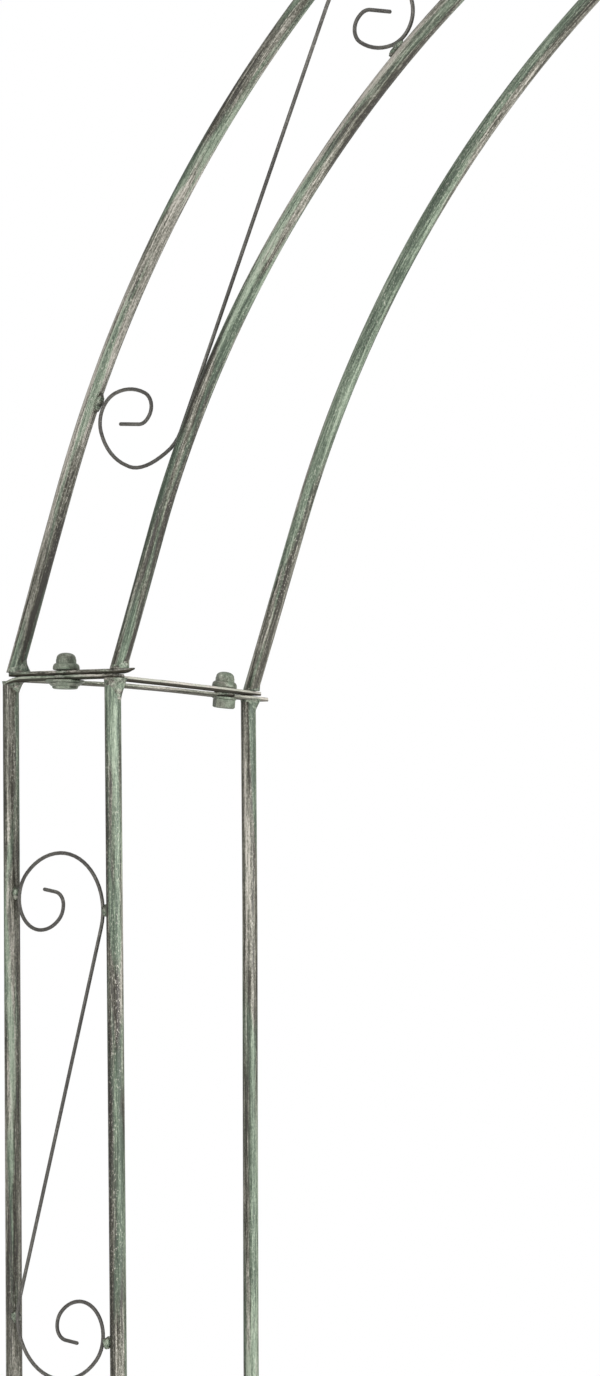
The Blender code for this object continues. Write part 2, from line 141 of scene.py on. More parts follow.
# ---------------------------------------------------------------- shader helpers
def new_material(name):
    material = bpy.data.materials.new(name)
    material.use_nodes = True
    tree = material.node_tree
    tree.nodes.clear()
    output = tree.nodes.new("ShaderNodeOutputMaterial")
    shader = tree.nodes.new("ShaderNodeBsdfPrincipled")
    tree.links.new(shader.outputs["BSDF"], output.inputs["Surface"])
    return material, tree, shader


def set_inputs(node, **values):
    for name, value in values.items():
        node.inputs[name.replace("_", " ")].default_value = value


def grain_noise(tree, vector, across, along, detail, roughness, distortion=0.0):
    """Noise with its own scale across and along the grain."""
    mapping = tree.nodes.new("ShaderNodeMapping")
    mapping.inputs["Scale"].default_value = (across, across, along)
    tree.links.new(vector, mapping.inputs["Vector"])
    node = tree.nodes.new("ShaderNodeTexNoise")
    set_inputs(node, Scale=1.0, Detail=detail, Roughness=roughness, Distortion=distortion)
    tree.links.new(mapping.outputs["Vector"], node.inputs["Vector"])
    return node.outputs["Fac"]


def ramp(tree, value, stops):
    """Colour ramp through (position, colour or grey level) stops."""
    node = tree.nodes.new("ShaderNodeValToRGB")
    elements = node.color_ramp.elements
    while len(elements) < len(stops):
        elements.new(0.5)
    for element, (position, colour) in zip(elements, stops):
        element.position = position
        element.color = (*colour, 1.0) if isinstance(colour, tuple) else (colour,) * 3 + (1.0,)
    tree.links.new(value, node.inputs["Fac"])
    return node.outputs["Color"]


def maths(tree, operation, *values):
    node = tree.nodes.new("ShaderNodeMath")
    node.operation = operation
    for socket, value in zip(node.inputs, values):
        if isinstance(value, (int, float)):
            socket.default_value = value
        else:
            tree.links.new(value, socket)
    return node.outputs["Value"]


def weighted_sum(tree, terms):
    """Sum of (value, weight) terms."""
    parts = [maths(tree, "MULTIPLY", value, weight) for value, weight in terms]
    total = parts[0]
    for part in parts[1:]:
        total = maths(tree, "ADD", total, part)
    return total


def mix_colour(tree, factor, first, second):
    node = tree.nodes.new("ShaderNodeMix")
    node.data_type = "RGBA"
    for socket, value in zip((node.inputs[0], node.inputs[6], node.inputs[7]), (factor, first, second)):
        if isinstance(value, (int, float)):
            socket.default_value = value
        elif isinstance(value, tuple):
            socket.default_value = (*value, 1.0)
        else:
            tree.links.new(value, socket)
    return node.outputs[2]


def grain_place(tree):
    """Place along and across a piece's own grain, from its mesh attribute."""
    node = tree.nodes.new("ShaderNodeAttribute")
    node.attribute_name = "grain"
    return node.outputs["Vector"]


def object_place(tree):
    return tree.nodes.new("ShaderNodeTexCoord").outputs["Object"]


def bump(tree, shader, height, strength, distance):
    node = tree.nodes.new("ShaderNodeBump")
    node.inputs["Strength"].default_value = strength
    node.inputs["Distance"].default_value = distance
    tree.links.new(height, node.inputs["Height"])
    tree.links.new(node.outputs["Normal"], shader.inputs["Normal"])


# ---------------------------------------------------------------- materials
UMBER = (0.022, 0.019, 0.014)
OLIVE = (0.066, 0.064, 0.046)
STONE = (0.165, 0.160, 0.132)
CHALK = (0.400, 0.375, 0.330)
VERDIGRIS_DARK = (0.040, 0.066, 0.042)
VERDIGRIS_PALE = (0.190, 0.262, 0.182)
SLATE = (0.060, 0.056, 0.055)
METAL_SHINE = 0.25
TINT_SHARE = 0.6
GREEN_DULLS = 0.18          # how much rougher the green patina is
FINE_DULLS = 0.12           # how much rougher the palest fine marks are
GLOSS = 0.5
BUMP_STRENGTH = 0.7
BUMP_DEPTH = 0.0005


def patina(name, place, green, along=1.0, lift=0.0, roughness=0.27, contrast=1.0,
           painted_underside_shade=None, tint=None, glint_strength=0.8, blend=0.0):
    """Brown paint with pale streaks and green patina, drawn out along the third axis.

    `green` is the strength of the patina.  `along` is 1 for a streaked tube, and larger for
    shorter marks.  `lift` makes the paint paler.  `painted_underside_shade` is the strength of
    the painted shade on the bottom of a flat bar, and at half that on its top, which stands in
    for the shade under and between the bolted bars; it also dulls the bottom, and such a bar has
    no metal shine.  `tint` is a colour mixed over the paint, `glint_strength` is the strength of
    the small pale specks that are painted glints, and `blend` softens the edge between brown and
    green.
    """
    material, tree, shader = new_material(name)
    vector = place(tree)
    # Scale across and along the grain, then detail, roughness and distortion.
    wide = grain_noise(tree, vector, 380, 9 * along, 3.0, 0.6)
    fine = grain_noise(tree, vector, 1500, 60 * along, 3.0, 0.65)
    patch = grain_noise(tree, vector, 105, 7 * along, 3.0, 0.5, 0.4)
    tone = grain_noise(tree, vector, 120, 5 * along, 2.0, 0.5)
    glint_patches = grain_noise(tree, vector, 60, 7 * along, 2.0, 0.5)
    speck = grain_noise(tree, vector, 1200, 600, 2.0, 0.7)
    terms = ((wide, 0.5), (fine, 0.5), (speck, 0.3), (tone, 0.45))
    average = sum(weight for value, weight in terms) / 2
    spread = maths(tree, "MULTIPLY", weighted_sum(tree, terms), contrast)
    streak = maths(tree, "ADD", spread, 0.5 + lift - average * contrast)
    paint = ramp(tree, streak, ((0.41, UMBER), (0.48, OLIVE), (0.555, STONE), (0.65, CHALK)))
    verdigris = ramp(tree, streak, ((0.40, VERDIGRIS_DARK), (0.61, VERDIGRIS_PALE)))
    cover = ramp(tree, patch, ((0.48 - blend, 0.0), (0.56 + blend * 0.3, green)))
    colour = mix_colour(tree, cover, paint, verdigris)
    # Small pale specks, painted glints of light, where the fine speck noise peaks inside patches of a
    # coarser noise.
    painted_glints = maths(tree, "MULTIPLY", ramp(tree, speck, ((0.60, 0.0), (0.68, 1.0))),
                  ramp(tree, glint_patches, ((0.45, 0.0), (0.60, glint_strength))))
    colour = mix_colour(tree, painted_glints, colour, CHALK)
    if tint:
        colour = mix_colour(tree, TINT_SHARE, colour, tint)
    rough = maths(tree, "ADD", maths(tree, "MULTIPLY", cover, GREEN_DULLS), roughness)
    rough = maths(tree, "ADD", rough, maths(tree, "MULTIPLY", fine, FINE_DULLS))
    # Painted shade: the bottom face of a flat bar is darkened towards the darkest paint colour, and its
    # top edge and face half as much, standing in for the shade under the bars and in the gap between
    # them; the bottom is also dulled.
    if painted_underside_shade is not None:
        split = tree.nodes.new("ShaderNodeSeparateXYZ")
        tree.links.new(vector, split.inputs[0])
        level = maths(tree, "MULTIPLY", split.outputs["Y"], 1.0 / STRIP_THICKNESS)
        shade = ramp(tree, level, ((0.36, 1.0), (0.48, 0.0), (0.86, 0.0), (0.96, 0.5)))
        colour = mix_colour(tree, maths(tree, "MULTIPLY", shade, painted_underside_shade), colour, UMBER)
        below = ramp(tree, level, ((0.36, 1.0), (0.48, 0.0)))
        dull = maths(tree, "MULTIPLY", below, painted_underside_shade)
        rough = maths(tree, "MAXIMUM", rough, dull)
        gloss = maths(tree, "MULTIPLY", maths(tree, "SUBTRACT", 1.0, dull), GLOSS)
        tree.links.new(gloss, shader.inputs["Specular IOR Level"])
    tree.links.new(colour, shader.inputs["Base Color"])
    tree.links.new(rough, shader.inputs["Roughness"])
    set_inputs(shader, Metallic=METAL_SHINE if painted_underside_shade is None else 0.0)
    height = weighted_sum(tree, ((fine, 0.7), (speck, 0.5)))
    bump(tree, shader, height, BUMP_STRENGTH, BUMP_DEPTH)
    return material


TUBE_PATINA = patina("tube_patina", grain_place, green=0.68, lift=0.001, contrast=1.08)
STRIP_PATINA = patina("strip_patina", grain_place, green=0.5, along=3.0, roughness=0.3,
                      contrast=1.3, painted_underside_shade=0.9)
# Paler copy of the strip paint for the arch side bar: painted light on its faces.
PAINTED_LIT_ARCH_STRIP = patina("painted_lit_arch_strip", grain_place, green=0.25, along=3.0, lift=0.15, roughness=0.3,
                    contrast=0.8, painted_underside_shade=0.95)
FLAT_PATINA = patina("flat_patina", object_place, green=0.55, along=60.0, roughness=0.35,
                     contrast=0.7)
# Less pale copy of the strip paint for the leg side bar: painted light on its faces.
PAINTED_LIT_LEG_STRIP = patina("painted_lit_leg_strip", grain_place, green=0.25, along=3.0, lift=0.07, roughness=0.3,
                    contrast=0.8, painted_underside_shade=0.7)
WELD_PATINA = patina("weld_patina", object_place, green=0.62, along=40.0, lift=-0.005,
                     roughness=0.22, glint_strength=0.3, blend=0.1)
FASTENER_PAINT = patina("fastener_paint", object_place, green=0.6, along=30.0, lift=0.032,
                        contrast=0.4, glint_strength=0.2, blend=0.3)
WIRE_PAINT = patina("wire_paint", grain_place, green=0.0, along=4.0, lift=-0.015, roughness=0.4,
                    contrast=0.7, tint=SLATE)


# ---------------------------------------------------------------- meshes
def make_object(name, points, faces, material, grain=None, smooth=True):
    mesh = bpy.data.meshes.new(name)
    mesh.from_pydata([tuple(p) for p in points], [], faces)
    mesh.validate()
    if smooth:
        mesh.shade_smooth()
        mesh.set_sharp_from_angle(angle=SHARP_ANGLE)
    if grain is not None:
        layer = mesh.attributes.new("grain", "FLOAT_VECTOR", "POINT")
        layer.data.foreach_set("vector", np.array(grain, dtype=np.float32).ravel())
    mesh.materials.append(material)
    item = bpy.data.objects.new(name, mesh)
    bpy.context.scene.collection.objects.link(item)
    return item


def place_pair(name, solid, material, nodes=()):
    """A piece on the left half and its mirror image on the right half."""
    points = settled(solid[0])
    faces = solid[1]
    grain = solid[2] if len(solid) > 2 else None
    left = make_object("left_" + name, points, faces, material, grain)
    flipped = [Vector((-p.x, p.y, p.z)) for p in points]
    turned_faces = [tuple(reversed(face)) for face in faces]
    if grain is not None:
        grain = [[a + b for a, b in zip(mark, MIRROR_GRAIN)] for mark in grain]
    right = make_object("right_" + name, flipped, turned_faces, material, grain)
    for side, item in (("left_", left), ("right_", right)):
        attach(item, "root")
        if nodes:
            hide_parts(*[side + node for node in nodes])


def place_one(name, solid, material, nodes):
    item = make_object(name, solid[0], solid[1], material)
    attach(item, "root")
    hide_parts(*nodes)


def rings_to_faces(rows, size, closed=False):
    """Faces between rows of points.  With `closed`, the last row joins up with the first."""
    faces = []
    for row in range(rows if closed else rows - 1):
        here = row * size
        there = (row + 1) % rows * size
        for k in range(size):
            after = (k + 1) % size
            faces.append((here + k, here + after, there + after, there + k))
    return faces


def path_frames(path):
    """Distance, direction, side and up at each point of a path in a plane of constant Y."""
    frames = []
    distance = 0.0
    for i, centre in enumerate(path):
        before = path[max(i - 1, 0)]
        after = path[min(i + 1, len(path) - 1)]
        if i:
            distance += (centre - before).length
        along = (after - before).normalized()
        side = Vector((0.0, 1.0, 0.0))
        frames.append((distance, along, side, along.cross(side)))
    return frames


def ring_points(centre, side, up, radius, steps):
    """Circle of points round a centre."""
    points = []
    for k in range(steps):
        turn = 2.0 * math.pi * k / steps
        points.append(centre + radius * (math.cos(turn) * side + math.sin(turn) * up))
    return points


def grain_ring(radius, steps, seed, distance):
    """Texture places of a ring: round the tube and along it, with no seam."""
    marks = []
    for k in range(steps):
        turn = 2.0 * math.pi * k / steps
        marks.append((seed + radius * math.cos(turn), radius * math.sin(turn), distance))
    return marks


def hollow_tube(path, seed, level=None):
    """Round tube with an open bore.  `level` cuts its start flat at that height."""
    frames = path_frames(path)
    outer, inner, marks, inner_marks = [], [], [], []
    for i, (centre, (distance, along, side, up)) in enumerate(zip(path, frames)):
        for store, notes, radius in ((outer, marks, TUBE_RADIUS),
                                     (inner, inner_marks, TUBE_RADIUS - TUBE_WALL)):
            ring = ring_points(centre, side, up, radius, TUBE_SIDES)
            if i == 0 and level is not None:
                ring = [p + along * ((level - p.z) / along.z) for p in ring]
            store.extend(ring)
            notes.extend(grain_ring(radius, TUBE_SIDES, seed, distance))
    rows = len(path)
    first = rows * TUBE_SIDES
    faces = rings_to_faces(rows, TUBE_SIDES)
    faces += [tuple(first + k for k in reversed(f)) for f in rings_to_faces(rows, TUBE_SIDES)]
    end = (rows - 1) * TUBE_SIDES
    for k in range(TUBE_SIDES):
        after = (k + 1) % TUBE_SIDES
        faces.append((first + k, first + after, after, k))
        faces.append((end + k, end + after, first + end + after, first + end + k))
    return outer + inner, faces, marks + inner_marks


def solid_wire(path, seed):
    """Solid wire with chamfered ends."""
    frames = path_frames(path)
    rows = [(centre, WIRE_RADIUS, distance, side, up)
            for centre, (distance, along, side, up) in zip(path, frames)]
    reach = WIRE_RADIUS * WIRE_END_REACH
    size = WIRE_RADIUS * WIRE_END_SIZE
    head, tail = frames[0], frames[-1]
    rows.insert(0, (path[0] - head[1] * reach, size, 0.0, head[2], head[3]))
    rows.append((path[-1] + tail[1] * reach, size, tail[0], tail[2], tail[3]))
    points, marks = [], []
    for centre, radius, distance, side, up in rows:
        points.extend(ring_points(centre, side, up, radius, WIRE_SIDES))
        marks.extend(grain_ring(radius, WIRE_SIDES, seed, distance))
    faces = rings_to_faces(len(rows), WIRE_SIDES)
    faces.append(tuple(reversed(range(WIRE_SIDES))))
    base = (len(rows) - 1) * WIRE_SIDES
    faces.append(tuple(base + k for k in range(WIRE_SIDES)))
    return points, faces, marks


def turned(profile, place, flats=None):
    """Solid of revolution from (radius, height) points, starting and ending on the axis.

    With `flats`, half the width across six flats, no point lies outside the hexagon.
    """
    points = [place @ Vector((0.0, 0.0, profile[0][1]))]
    for radius, height in profile[1:-1]:
        for k in range(ROUND_STEPS):
            turn = 2.0 * math.pi * k / ROUND_STEPS
            reach = radius
            if flats:
                from_flat = (turn + math.pi / 6) % (math.pi / 3) - math.pi / 6
                reach = min(radius, flats / math.cos(from_flat))
            points.append(place @ Vector((reach * math.cos(turn), reach * math.sin(turn), height)))
    points.append(place @ Vector((0.0, 0.0, profile[-1][1])))
    faces = []
    rows = len(profile) - 2
    for k in range(ROUND_STEPS):
        after = (k + 1) % ROUND_STEPS
        faces.append((0, 1 + k, 1 + after))
        for row in range(rows - 1):
            here = 1 + row * ROUND_STEPS
            there = here + ROUND_STEPS
            faces.append((here + k, there + k, there + after, here + after))
        base = 1 + (rows - 1) * ROUND_STEPS
        faces.append((len(points) - 1, base + after, base + k))
    return points, faces


def joined(*solids):
    points, faces = [], []
    for solid in solids:
        start = len(points)
        points.extend(solid[0])
        faces.extend(tuple(start + k for k in face) for face in solid[1])
    return points, faces


def level_between(stops, distance):
    """Value at a distance along (distance, value) stops."""
    for (near, first), (far, last) in zip(stops, stops[1:]):
        if distance <= far:
            share = max(distance - near, 0.0) / (far - near)
            return first + (last - first) * share
    return stops[-1][1]


def fading(distance, reach):
    """Smooth step from 1 at the first distance of `reach` down to 0 at the second."""
    share = min(max((reach[1] - distance) / (reach[1] - reach[0]), 0.0), 1.0)
    return share * share * (3.0 - 2.0 * share)


def settled(points):
    """The points as they really sit: the joint's outer corner a little high, the tubes bowed."""
    moved = []
    for p in points:
        inner = (p.x - OUTER.x) / FRONT_SPACING
        rear = (p.y - FRONT_Y) / (REAR_Y - FRONT_Y)
        outer = min(max(1.0 - inner - rear, CORNER_LIMITS[0]), CORNER_LIMITS[1])
        shares = (outer, inner, rear)
        height = p.z - JOINT_Z
        lift = JOINT_LIFT * fading(abs(height), LIFT_REACH) * outer
        if height < 0.0:
            bow = sum(share * level_between(stops, -height) for share, stops in zip(shares, LEG_BOW))
        else:
            bow = sum(share * foot for share, foot in zip(shares, ARCH_FOOT_BOW))
            bow *= fading(height, ARCH_BOW_REACH)
        moved.append(Vector((p.x + bow, p.y, p.z + lift)))
    return moved


# ---------------------------------------------------------------- arch line
def arch_path(offset, y):
    """Axis of an arch tube that lies `offset` outside the inner one."""
    bend = INNER_BEND + offset
    foot = INNER.x + ARCH_INSET - offset / TILT.y
    start = SEAT / TILT.y
    straight = INNER_STRAIGHT + offset / TILT.y * TILT.x
    points = [Vector((foot + start * TILT.x, y, JOINT_Z + SEAT))]
    for share in STRAIGHT_SHARES:
        reach = start + (straight - start) * share
        points.append(Vector((foot + reach * TILT.x, y, JOINT_Z + reach * TILT.y)))
    end = math.acos(SEAT / bend)
    for k in range(ARCH_STEPS + 1):
        turn = START_TILT + (end - START_TILT) * k / ARCH_STEPS
        points.append(Vector((-bend * math.cos(turn), y, BEND_CENTRE_Z + bend * math.sin(turn))))
    return points


def arch_point(along, out):
    """Point of the front face, by its place along the middle line and out from the inner tube."""
    middle_straight = INNER_STRAIGHT + FRONT_SPACING / 2 * TILT.x
    middle_bend = INNER_BEND + ARCH_SPACING / 2
    turn = START_TILT + max(along - middle_straight, 0.0) / middle_bend
    radius = INNER_BEND + out
    point = Vector((-radius * math.cos(turn), BEND_CENTRE_Z + radius * math.sin(turn)))
    return point - TILT * max(middle_straight - along, 0.0)


# ---------------------------------------------------------------- scrolls
def loop_points(reach, hand, bends, tail, swing):
    """Half of an S-scroll, from its middle to the inner end of its loop."""
    lead = math.asin(bends[0][0] / reach)
    heading = math.pi / 2 - lead
    run = math.sqrt(reach ** 2 - bends[0][0] ** 2)
    direction = Vector((math.cos(heading), math.sin(heading)))
    points = [direction * run * share for share in LEAD_SHARES]
    position = points[-1].copy()
    for number, (radius, degrees) in enumerate(bends):
        turn = math.radians(degrees) + (lead + math.radians(swing) if number == 0 else 0.0)
        steps = math.ceil(turn / TURN_STEP)
        step = turn / steps
        for _ in range(steps):
            chord = 2.0 * radius * math.sin(step / 2)
            heading += step / 2
            position = position + Vector((math.cos(heading), math.sin(heading))) * chord
            heading += step / 2
            points.append(position.copy())
    direction = Vector((math.cos(heading), math.sin(heading)))
    points += [position + direction * tail * share for share in TAIL_SHARES]
    return [Vector((hand * p.x, p.y)) for p in points]


def scroll_path(low, high, hand, bends, tail, swings, lean=(0.0, 0.0), pull=(0.0, 0.0)):
    """Middle line of an S-scroll, with its lower and upper loop around two plan points."""
    middle = (low + high) / 2
    reach = (high - low).length / 2
    along = (high - low).normalized()
    across = Vector((along.y, -along.x))
    lower = loop_points(reach, hand, bends, tail, swings[0])
    upper = loop_points(reach, hand, bends, tail, swings[1])
    plan = [-p for p in reversed(lower)] + [Vector((0.0, 0.0))] + upper
    bend_steps = math.ceil(math.radians(bends[0][1]) / TURN_STEP)
    bend_start = len(lower) - len(LEAD_SHARES)
    points = []
    for k, p in enumerate(plan):
        spot = middle + across * p.x + along * p.y
        rise = min(max(p.y / reach * 0.5 + 0.5, 0.0), 1.0)
        front = lean[0] + (lean[1] - lean[0]) * rise
        into = min(max((bend_start - k) / bend_steps, 0.0), 1.0)
        back = math.sin(math.pi * max(into - BACK_START, 0.0) / (1.0 - BACK_START))
        hold = fading(into, (0.0, PULL_EASE)) - PULL_BACK * back
        sideways = (pull[0] + (pull[1] - pull[0]) * rise) * hold
        points.append(Vector((spot.x + sideways, FRONT_Y + front, spot.y)))
    return points


# ---------------------------------------------------------------- welds
WELD_SKIRT = 0.0003         # thickness of a foot weld on its thin side
WELD_SIDES = 36
WELD_ROWS = 8
WELD_SINK = 0.0004          # depth of a foot weld's top row inside the tube wall
WELD_BORE = TUBE_RADIUS - 0.0006
WELD_RIPPLE = 2.2           # a larger value gives more ripples round the tube
WELD_RIPPLES = (0.8, 0.4, 0.3)      # strength of the ripples in its skirt, swell and rise
WELD_CLIMB = 0.35           # share of the rise that it climbs on its thin side
# Each tube's foot welds: seed, swell and rise under the leg bracket, swell and rise on the arch
# bracket, and the side they swell to, in degrees from +X.
FOOT_WELDS = {"outer": (9.15, 0.0032, 0.008, 0.0042, 0.009, 25.0),
              "inner": (7.93, 0.0040, 0.015, 0.0012, 0.007, 20.0),
              "rear": (0.61, 0.0026, 0.008, 0.0008, 0.005, 35.0)}
GROUND_WELD_SWELL = 0.0015
GROUND_WELD_RISE = 0.005
BEAD_RINGS = 9
BEAD_SIDES = 14
BEAD_ROUGHNESS = 0.35
BEAD_LUMPS = 1.7            # a larger value gives more lumps on a bead
LEG_BEAD = 0.0029           # radius of a bead
ARCH_BEAD = 0.0023
LEG_BEAD_STRETCH = 1.3
ARCH_BEAD_STRETCH = 2.7
LEG_SEEDS_PER_METRE = 40    # beads in different places get different seeds
ARCH_SEEDS_PER_METRE = 50
# Beads of a leg scroll, from its middle: where it touches the outer and the inner tube.
LEG_BEADS = (("loop", Vector((-0.0375, LEG_SCROLL_HALF + 0.0110))),
             ("turn", Vector((0.0372, LEG_SCROLL_HALF))))
LEG_BEAD_FRONT = 0.7        # share of the scroll's lean that a bead follows
ARCH_BEAD_OFF = 0.0012      # gap between a bead's centre and the tube's face
ARCH_BEAD_BACK = 0.0060     # a bead lies this far past its loop's centre, away from the other
ARCH_BEAD_FRONT = 0.0008    # and this far in front of the tubes' axes


def lump(centre, size, seed, stretch, turn=0.0):
    """Small irregular bead of weld metal, `stretch` times as long as it is wide."""
    tilt = Matrix.Rotation(turn, 3, "Y")
    points = []
    for row in range(BEAD_RINGS + 1):
        polar = math.pi * row / BEAD_RINGS
        count = 1 if row in (0, BEAD_RINGS) else BEAD_SIDES
        for k in range(count):
            round_turn = 2.0 * math.pi * k / BEAD_SIDES
            unit = Vector((math.sin(polar) * math.cos(round_turn),
                           math.sin(polar) * math.sin(round_turn), math.cos(polar)))
            place = unit * BEAD_LUMPS + Vector((seed, 2.3 * seed, 0.7))
            swell = 1.0 + BEAD_ROUGHNESS * noise.noise(place)
            shaped = Vector((unit.x, unit.y, unit.z * stretch)) * size * swell
            points.append(centre + tilt @ shaped)
    faces = []
    for k in range(BEAD_SIDES):
        after = (k + 1) % BEAD_SIDES
        faces.append((0, 1 + k, 1 + after))
        for row in range(BEAD_RINGS - 2):
            here = 1 + row * BEAD_SIDES
            there = here + BEAD_SIDES
            faces.append((here + k, there + k, there + after, here + after))
        base = 1 + (BEAD_RINGS - 2) * BEAD_SIDES
        faces.append((len(points) - 1, base + after, base + k))
    return points, faces


def foot_weld(spot, level, upward, lean, rise, seed, swell, toward):
    """Weld fillet around a tube where it stands on a bracket.

    `lean` is how far the tube's axis moves in X for each metre of height.  The fillet swells
    out and climbs most on the side that faces the `toward` turn.
    """
    in_skirt, in_swell, in_rise = WELD_RIPPLES
    points = []
    for row in range(WELD_ROWS):
        share = row / (WELD_ROWS - 1)
        for k in range(WELD_SIDES):
            turn = 2.0 * math.pi * k / WELD_SIDES
            ripple = noise.noise(Vector((math.cos(turn) * WELD_RIPPLE,
                                         math.sin(turn) * WELD_RIPPLE + share, seed)))
            facing = max(math.cos(turn - toward), 0.0) ** 1.5
            grown = WELD_SKIRT * (1.0 + in_skirt * ripple) + swell * facing * (1.0 + in_swell * ripple)
            radius = TUBE_RADIUS + grown * (1.0 - share) ** 1.4
            if row == WELD_ROWS - 1:
                radius = TUBE_RADIUS - WELD_SINK
            climb = WELD_CLIMB + (1.0 - WELD_CLIMB) * facing
            z = rise * share * climb * (1.0 + in_rise * ripple)
            points.append(Vector((spot[0] + lean * z + radius * math.cos(turn),
                                  spot[1] + radius * math.sin(turn),
                                  level + (z if upward else -z))))
    for share in (0.25, 0.0):
        height = rise * share
        for k in range(WELD_SIDES):
            turn = 2.0 * math.pi * k / WELD_SIDES
            points.append(Vector((spot[0] + lean * height + WELD_BORE * math.cos(turn),
                                  spot[1] + WELD_BORE * math.sin(turn),
                                  level + (height if upward else -height))))
    faces = rings_to_faces(WELD_ROWS + 2, WELD_SIDES, closed=True)
    if not upward:
        faces = [tuple(reversed(face)) for face in faces]
    return points, faces


# ---------------------------------------------------------------- joint brackets
BAR_WIDTH = 0.010
BAR_EDGE = 0.00045          # rounding of a bar's long edges
BAR_STEP = 0.004            # distance between a bar's rows of points
BAR_SWAY = 0.00012          # how far a bar's rows are out of line
SWAY_WAVES = 45.0           # a larger value gives more bends along a bar
LIP_REACH = 0.012           # the leg cross bar's outer end is dressed down over the tube
LIP_DROP = 0.0026
TIP_REACH = 0.010           # the arch cross bar's inner end is cut to a point
TIP_RISE = 0.0020
TIP_SHARE = 0.1             # shares of the width and of the thickness left at the tip
TIP_THIN = 0.35
END_TAPER = 0.004           # length over which its outer end narrows to half
LAP_DROP = 0.0036           # the arch side bar is lapped under the cross bar
LAP_REACH = 0.25            # and rises to its own level over this length
SIDE_CROWN = 0.0012         # upward bow of the leg side bar
REAR_DROP = 0.0011          # downward bend of its rear end
EYE_RADIUS = 0.0066
EYE_BORE = 0.0044
# Where each bar starts and ends, past the axes of the two tubes it runs between.
LEG_CROSS_ENDS = (0.0, 0.0050)
LEG_SIDE_ENDS = (0.0060, 0.0146)
ARCH_CROSS_ENDS = (0.0004, 0.0160)
ARCH_SIDE_ENDS = (0.0072, 0.0138)


def bar_section(width):
    """Rounded rectangle, as (across, height) points, anticlockwise seen along the bar."""
    half, top, edge = width / 2, STRIP_THICKNESS, BAR_EDGE
    small = edge * ROUNDING
    return ((-half + edge, 0.0), (half - edge, 0.0), (half - small, small), (half, edge),
            (half, top - edge), (half - small, top - small), (half - edge, top),
            (-half + edge, top), (-half + small, top - small), (-half, top - edge),
            (-half, edge), (-half + small, small))


def flat_bar(start, stop, low, seed, shape):
    """Flat bar between two plan points.

    shape(distance, length) gives its share of the width, its rise and its share of the thickness.
    """
    run = (stop - start).length
    along = (stop - start) / run
    side = Vector((-along.y, along.x))
    count = max(int(run / BAR_STEP), 4)
    points, marks = [], []
    size = len(bar_section(BAR_WIDTH))
    for k in range(count + 1):
        distance = run * k / count
        share, rise, thin = shape(distance, run)
        sway = BAR_SWAY * noise.noise(Vector((distance * SWAY_WAVES, seed, 0.3)))
        for across, height in bar_section(BAR_WIDTH):
            spot = start + along * distance + side * (across * share + sway)
            points.append(Vector((spot.x, spot.y, low + height * thin + rise + sway)))
            marks.append((seed + across, height, distance))
    faces = rings_to_faces(count + 1, size)
    faces.append(tuple(reversed(range(size))))
    faces.append(tuple(range(count * size, (count + 1) * size)))
    return points, faces, marks


def eye_plate(spot, low, seed):
    """Round eye of a bracket, pierced for its bolt."""
    place = Matrix.Translation((spot.x, spot.y, low))
    radius, top, edge = EYE_RADIUS, STRIP_THICKNESS, BAR_EDGE
    rings = ((EYE_BORE, 0.0), (radius - edge, 0.0), (radius, edge), (radius, top - edge),
             (radius - edge, top), (EYE_BORE, top))
    points = []
    for reach, height in rings:
        for k in range(ROUND_STEPS):
            turn = 2.0 * math.pi * k / ROUND_STEPS
            points.append(place @ Vector((reach * math.cos(turn), reach * math.sin(turn), height)))
    marks = [(seed + p.y - spot.y, p.z - low, p.x - spot.x) for p in points]
    return points, rings_to_faces(len(rings), ROUND_STEPS, closed=True), marks


def with_grain(*solids):
    """Solids joined into one, with their texture places."""
    points, faces = joined(*solids)
    return points, faces, [mark for solid in solids for mark in solid[2]]


def dressed(distance, _):
    """Shape of the leg cross bar, bent down at its outer end."""
    past = max(1.0 - distance / LIP_REACH, 0.0)
    return 1.0, -LIP_DROP * past ** 1.6, 1.0


def pointed(distance, run):
    """Shape of the arch cross bar, with a thin point at its inner end."""
    left = min((run - distance) / TIP_REACH, 1.0)
    width = (TIP_SHARE + (1.0 - TIP_SHARE) * left) * (0.5 + 0.5 * min(distance / END_TAPER, 1.0))
    return width, TIP_RISE * (1.0 - left), TIP_THIN + (1.0 - TIP_THIN) * left


def lapped(distance, _):
    """Shape of the arch side bar, lower at its front end."""
    return 1.0, -LAP_DROP * max(1.0 - distance / LAP_REACH, 0.0) ** 1.2, 1.0


def bowed(distance, run):
    """Shape of the leg side bar, higher in the middle and bent down at its rear end."""
    share = distance / run
    rise = SIDE_CROWN * math.sin(math.pi * min(share * 1.25, 1.0)) - REAR_DROP * share ** 6
    return 1.0, rise, 1.0


